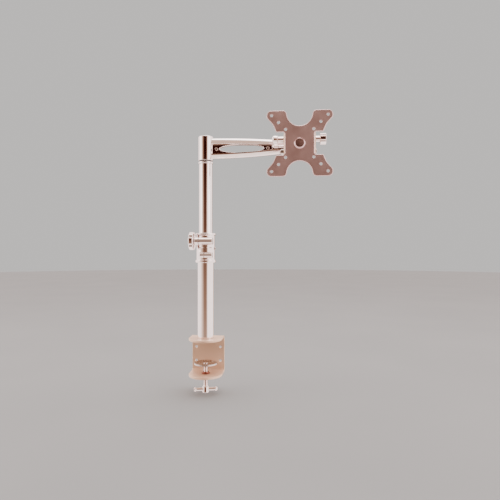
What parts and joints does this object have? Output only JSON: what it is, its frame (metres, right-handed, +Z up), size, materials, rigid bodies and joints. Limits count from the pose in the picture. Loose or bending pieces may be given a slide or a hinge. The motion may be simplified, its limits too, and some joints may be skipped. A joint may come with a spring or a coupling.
{
  "type": "monitor arm",
  "caption": "Desk-clamp monitor arm with a telescoping pole, a pierced swing arm and a tilting, rotating mounting plate.",
  "frame": {"origin": "on the pole's axis, in the plane of the desk top that the clamp's upper flange rests on", "axes": "+X along the arm from the pole to the head, -Y towards the user and the front of the plate, +Z up along the pole"},
  "size_m": [0.2695, 0.0838, 0.521],
  "materials": {
    "polished_chrome": "polished",
    "zinc_hardware": "zinc plated",
    "pale_coated_steel": "satin",
    "satin_plate": "satin, fine grained",
    "turned_steel": "fine turned",
    "brass_nut": "reddish, dull",
    "dark_nylon": "matte"
  },
  "bodies": {
    "stand": {"clamp_bracket": "pale_coated_steel", "clamp_nut": "brass_nut", "base_plug": "zinc_hardware", "base_screw_1": "zinc_hardware", "base_screw_2": "zinc_hardware", "base_screw_3": "zinc_hardware", "lower_tube": "polished_chrome", "collar": "polished_chrome", "collar_bolt": "zinc_hardware", "collar_bolt_nut": "zinc_hardware", "collar_set_screw": "zinc_hardware", "knob_nut": "zinc_hardware"},
    "pressure_pad": {"pressure_disc": "zinc_hardware"},
    "clamp_screw": {"clamp_screw": "polished_chrome"},
    "tommy_bar": {"tommy_bar": "polished_chrome", "bar_cap_left": "polished_chrome", "bar_cap_right": "polished_chrome"},
    "height_knob": {"height_knob": "polished_chrome", "height_knob_stud": "zinc_hardware"},
    "upper_pole": {"upper_tube": "polished_chrome", "upper_tube_foot": "dark_nylon", "pole_spigot": "polished_chrome", "retaining_washer": "zinc_hardware", "retaining_screw": "zinc_hardware"},
    "arm": {"arm": "polished_chrome", "arm_washer": "dark_nylon", "hub_liner": "dark_nylon", "hub_cap": "polished_chrome", "web_screw_1": "zinc_hardware", "web_screw_2": "zinc_hardware"},
    "head": {"head_block": "polished_chrome", "swivel_bolt": "zinc_hardware", "swivel_nut": "zinc_hardware", "swivel_washer_lower": "dark_nylon", "swivel_washer_upper": "dark_nylon", "tilt_bolt": "zinc_hardware", "tilt_cap_nut": "polished_chrome", "tilt_spacer_left": "polished_chrome", "tilt_spacer_right": "polished_chrome", "friction_washer_left": "dark_nylon", "friction_washer_right": "dark_nylon"},
    "tilt_bracket": {"tilt_bracket": "pale_coated_steel", "stop_bolt": "zinc_hardware", "stop_bolt_nut": "zinc_hardware", "plate_pivot": "turned_steel", "plate_pivot_nut": "zinc_hardware"},
    "tilt_knob": {"tilt_knob": "polished_chrome"},
    "plate": {"vesa_plate": "satin_plate"}
  },
  "joints": [
    {"name": "clamp_travel", "type": "slide", "parent": "stand", "child": "pressure_pad", "axis": [0, 0, 1], "range_m": [-0.012, 0.019]},
    {"name": "clamp_screw_turn", "type": "hinge", "parent": "pressure_pad", "child": "clamp_screw", "pos_m": [0, 0, -0.088], "axis": [0, 0, 1], "range_deg": [-3500, 5500]},
    {"name": "tommy_bar_slide", "type": "slide", "parent": "clamp_screw", "child": "tommy_bar", "axis": [0.9703, 0.2419, 0], "range_m": [-0.011, 0.011]},
    {"name": "height_knob_turn", "type": "hinge", "parent": "stand", "child": "height_knob", "pos_m": [-0.018, -0.019, 0.1888], "axis": [1, 0, 0], "continuous": true},
    {"name": "height_slide", "type": "slide", "parent": "stand", "child": "upper_pole", "axis": [0, 0, 1], "range_m": [-0.074, 0.045]},
    {"name": "arm_swing", "type": "hinge", "parent": "upper_pole", "child": "arm", "pos_m": [0, 0, 0.343], "axis": [0, 0, 1], "continuous": true},
    {"name": "head_swivel", "type": "hinge", "parent": "arm", "child": "head", "pos_m": [0.1785, 0, 0.355], "axis": [0, 0, 1], "range_deg": [-9, 180]},
    {"name": "tilt", "type": "hinge", "parent": "head", "child": "tilt_bracket", "pos_m": [0.1785, -0.026, 0.374], "axis": [1, 0, 0], "range_deg": [-30, 10]},
    {"name": "tilt_knob_turn", "type": "hinge", "parent": "head", "child": "tilt_knob", "pos_m": [0.2155, -0.026, 0.374], "axis": [1, 0, 0], "continuous": true},
    {"name": "plate_rotate", "type": "hinge", "parent": "tilt_bracket", "child": "plate", "pos_m": [0.1785, -0.0483, 0.362], "axis": [0, -1, 0], "range_deg": [-90, 90]}
  ],
  "couplings": [
    {"joint": "clamp_screw_turn", "follows": "clamp_travel", "rad_per_m": 5026.5}
  ]
}
